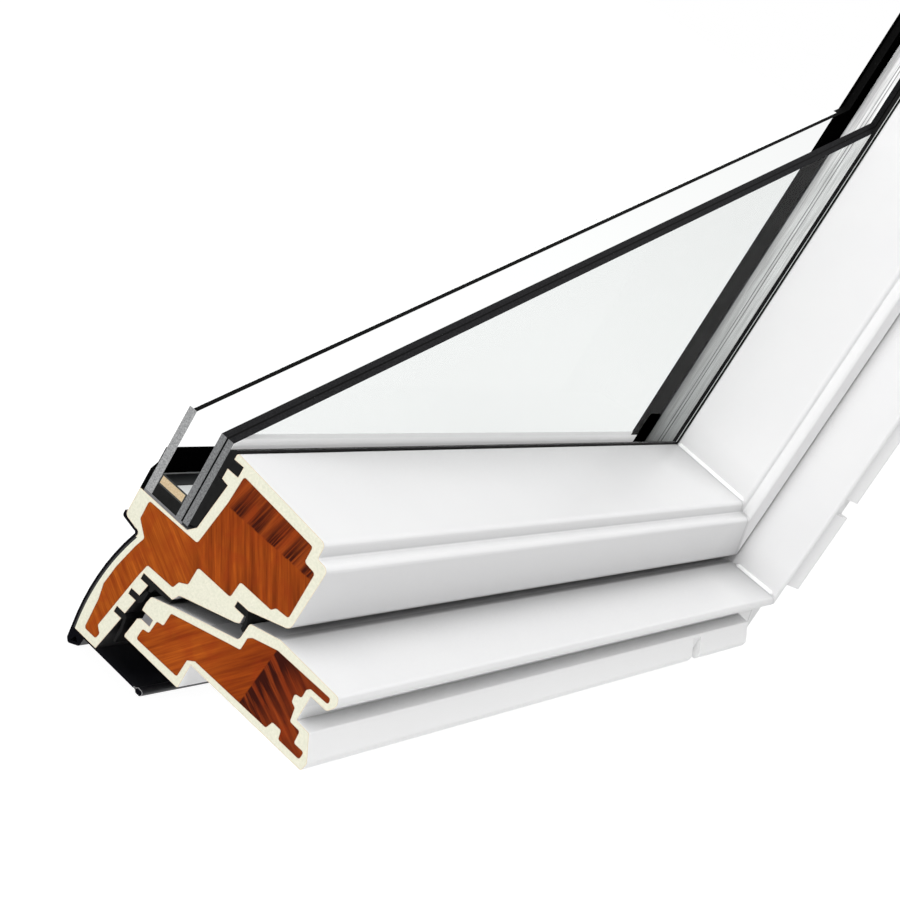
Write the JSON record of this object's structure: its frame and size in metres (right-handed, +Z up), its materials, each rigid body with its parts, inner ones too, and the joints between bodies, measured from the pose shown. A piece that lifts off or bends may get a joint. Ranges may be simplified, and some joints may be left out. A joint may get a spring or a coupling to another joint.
{
  "type": "cutaway corner of a centre pivot roof window",
  "caption": "Lower corner of a centre pivot roof window, sawn to show foam-skinned timber frame and sash, double glazing, seals and black sash cover.",
  "frame": {"origin": "middle of the flat sole on the underside of the frame's bottom member", "axes": "+X along the bottom member towards the corner, +Y outwards to the weather, +Z up the slope in the plane of the glass"},
  "size_m": [0.4931, 0.1212, 0.4708],
  "materials": {
    "timber": "sawn end grain of orange-brown glued softwood",
    "moulded_skin": "smooth white lacquered moulded skin, cream where it is sawn",
    "black_sheet": "black coated aluminium sheet",
    "interlayer": "clear film between the laminated sheets, dark at its cut edge",
    "glass": "clear float glass with dark sawn edges",
    "spacer": "dark warm-edge spacer bar",
    "desiccant": "tan drying beads",
    "grey_plastic": "mid grey plastic",
    "black_rubber": "soft black rubber"
  },
  "bodies": {
    "root": {"desiccant_bottom": "desiccant", "desiccant_side": "desiccant", "frame_bottom_clip": "grey_plastic", "frame_bottom_core": "timber", "frame_bottom_skin": "moulded_skin", "frame_side_clip": "grey_plastic", "frame_side_core": "timber", "frame_side_skin": "moulded_skin", "glass_edge_seal_bottom": "black_rubber", "glass_edge_seal_side": "black_rubber", "glass_lip_bottom": "black_rubber", "glass_lip_side": "black_rubber", "glass_packer_bottom": "grey_plastic", "glass_packer_side": "grey_plastic", "glazing_gasket_bottom": "black_rubber", "glazing_gasket_side": "black_rubber", "inner_sheet_cavity": "glass", "inner_sheet_interlayer": "interlayer", "inner_sheet_room": "glass", "outer_pane": "glass", "rebate_strip_bottom": "black_rubber", "rebate_strip_side": "black_rubber", "sash_bottom_core": "timber", "sash_bottom_skin": "moulded_skin", "sash_cover_bottom": "black_sheet", "sash_cover_side": "black_sheet", "sash_side_core": "timber", "sash_side_skin": "moulded_skin", "seal_inner_bottom": "black_rubber", "seal_inner_side": "black_rubber", "seal_middle_bottom": "black_rubber", "seal_middle_side": "black_rubber", "seal_outer_bottom": "black_rubber", "seal_outer_side": "black_rubber", "seal_room_bottom": "black_rubber", "seal_room_side": "black_rubber", "spacer_bar_bottom": "spacer", "spacer_bar_side": "spacer"}
  },
  "joints": []
}
